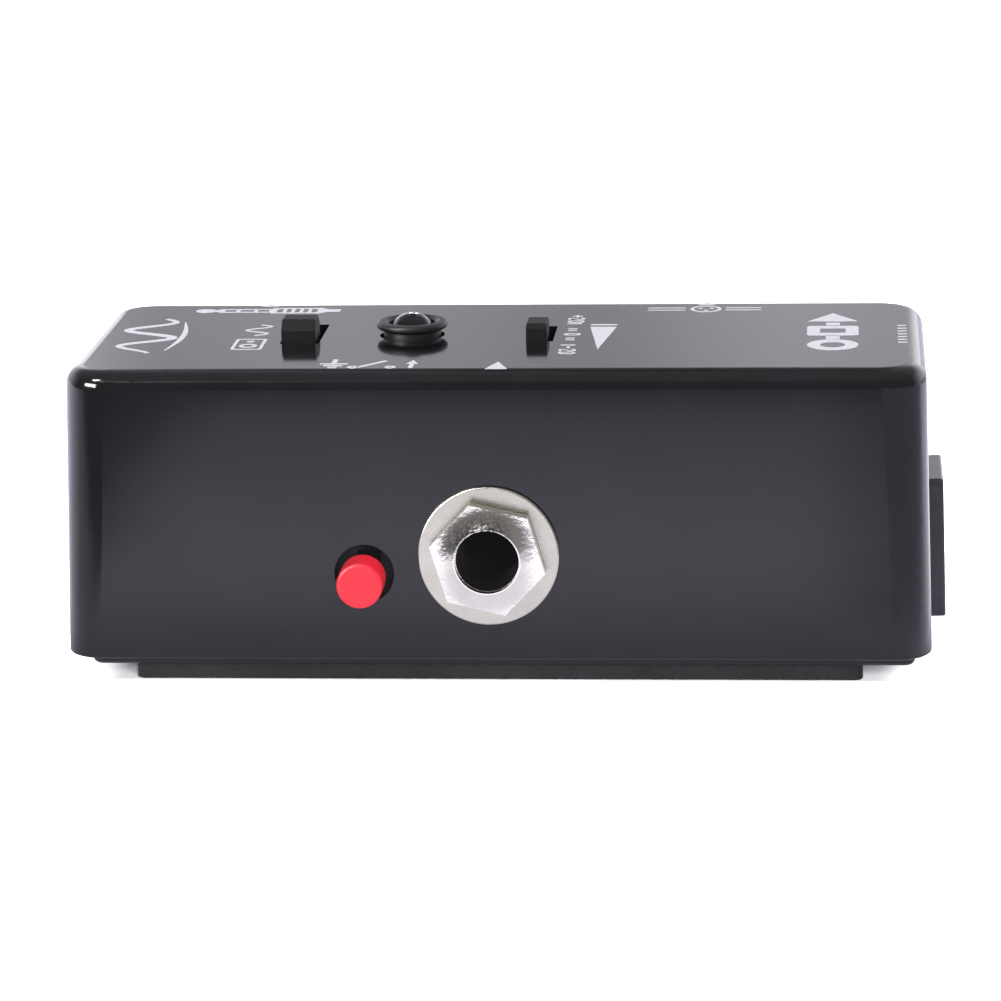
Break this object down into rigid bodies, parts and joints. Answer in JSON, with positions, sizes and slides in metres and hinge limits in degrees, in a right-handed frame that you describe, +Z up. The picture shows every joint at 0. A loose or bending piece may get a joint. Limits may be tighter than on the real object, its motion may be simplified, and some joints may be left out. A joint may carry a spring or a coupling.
{
  "type": "direct injection box",
  "caption": "Compact black direct injection box with a jack input, balanced and jack outputs, push-button ground lift, slide switches and indicator lamp.",
  "frame": {"origin": "centre of the rubber pad's underside", "axes": "+X along the long side towards the power socket, +Y towards the output connectors, +Z up; the input jack and the ground-lift button face -Y"},
  "size_m": [0.0947, 0.0462, 0.0368],
  "materials": {
    "black_paint": "gloss",
    "base_black": "satin",
    "screw_steel": "satin",
    "pad_rubber": "matte",
    "bright_nickel": "polished",
    "washer_nickel": "satin",
    "jack_plastic": "matte",
    "contact_metal": "satin",
    "brass_contact": "satin",
    "red_plastic": "satin",
    "knob_plastic": "satin",
    "frame_steel": "satin",
    "phenolic": "matte",
    "clear_resin": "clear",
    "collar_plastic": "satin",
    "socket_plastic": "matte",
    "board_green": "satin",
    "chip_black": "matte",
    "can_blue": "gloss",
    "film_yellow": "gloss",
    "resistor_body": "matte"
  },
  "bodies": {
    "enclosure": {"enclosure_shell": "black_paint", "base_plate": "base_black", "base_screws": "screw_steel", "rubber_pad": "pad_rubber", "xlr_shell": "washer_nickel", "xlr_insert": "jack_plastic", "xlr_pins": "contact_metal", "xlr_screws": "screw_steel", "dc_housing": "socket_plastic", "dc_centre_pin": "brass_contact", "dc_sleeve_spring": "contact_metal", "led_lens": "clear_resin", "led_leads": "contact_metal", "led_collar": "collar_plastic", "lift_switch_body": "jack_plastic", "lift_switch_terminals": "contact_metal", "lift_switch_spring": "screw_steel", "main_board": "board_green", "control_board": "board_green", "board_link_pins": "brass_contact", "board_link_spacer": "jack_plastic", "amplifier_chips": "chip_black", "electrolytic_capacitors": "can_blue", "film_capacitors": "film_yellow", "chip_resistors": "resistor_body", "power_diode": "chip_black", "input_jack_body": "jack_plastic", "input_jack_bushing": "bright_nickel", "input_jack_nut": "bright_nickel", "input_jack_washer": "washer_nickel", "input_jack_tip_spring": "contact_metal", "input_jack_sleeve_contact": "contact_metal", "output_jack_body": "jack_plastic", "output_jack_bushing": "bright_nickel", "output_jack_nut": "bright_nickel", "output_jack_washer": "washer_nickel", "output_jack_tip_spring": "contact_metal", "output_jack_sleeve_contact": "contact_metal", "cab_switch_frame": "frame_steel", "cab_switch_base": "phenolic", "cab_switch_terminals": "contact_metal", "gain_switch_frame": "frame_steel", "gain_switch_base": "phenolic", "gain_switch_terminals": "contact_metal"},
    "lift_button": {"lift_button_cap": "red_plastic", "lift_switch_plunger": "jack_plastic", "lift_switch_contact": "brass_contact"},
    "cab_slider": {"cab_switch_knob": "knob_plastic", "cab_switch_contact": "brass_contact"},
    "gain_slider": {"gain_switch_knob": "knob_plastic", "gain_switch_contact": "brass_contact"}
  },
  "joints": [
    {"name": "lift_button_press", "type": "slide", "parent": "enclosure", "child": "lift_button", "axis": [0, 1, 0], "range_m": [0, 0.0025], "stiffness_N_per_m": 150, "deforming": ["lift_switch_spring"]},
    {"name": "cab_switch_slide", "type": "slide", "parent": "enclosure", "child": "cab_slider", "axis": [0, 1, 0], "range_m": [0, 0.0037]},
    {"name": "gain_switch_slide", "type": "slide", "parent": "enclosure", "child": "gain_slider", "axis": [0, 1, 0], "range_m": [0, 0.0034]}
  ]
}
